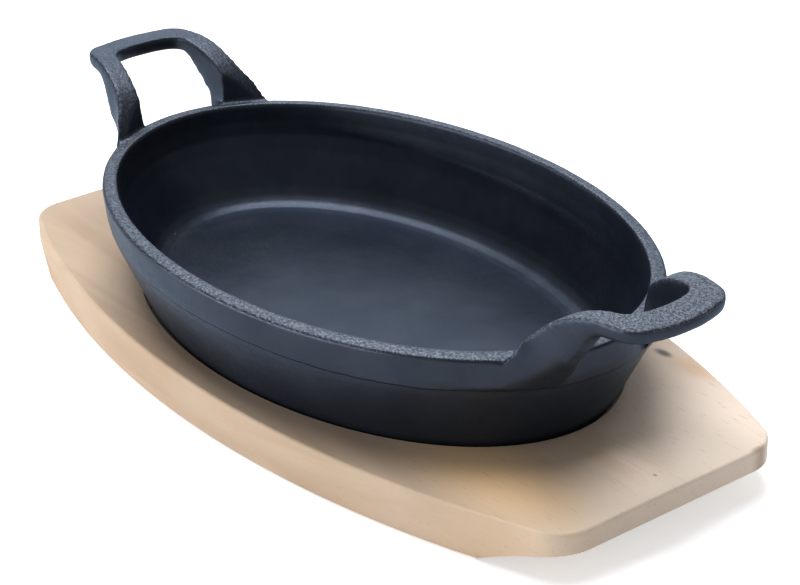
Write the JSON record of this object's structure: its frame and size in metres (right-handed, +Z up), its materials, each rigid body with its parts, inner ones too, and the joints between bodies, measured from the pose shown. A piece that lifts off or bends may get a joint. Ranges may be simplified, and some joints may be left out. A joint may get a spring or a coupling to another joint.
{
  "type": "sizzle platter",
  "caption": "Oval cast-iron serving pan with raised loop handles, seated in a shallow oval recess of a wooden underliner board.",
  "frame": {"origin": "under the pan's middle, level with the board's underside", "axes": "+X along the long axis through both handles, +Y across, +Z up"},
  "size_m": [0.281, 0.1444, 0.0698],
  "materials": {
    "cast_iron": "satin black, seasoned",
    "wood": "matt, unfinished pale wood"
  },
  "bodies": {
    "root": {"pan": "cast_iron", "board": "wood"}
  },
  "joints": []
}
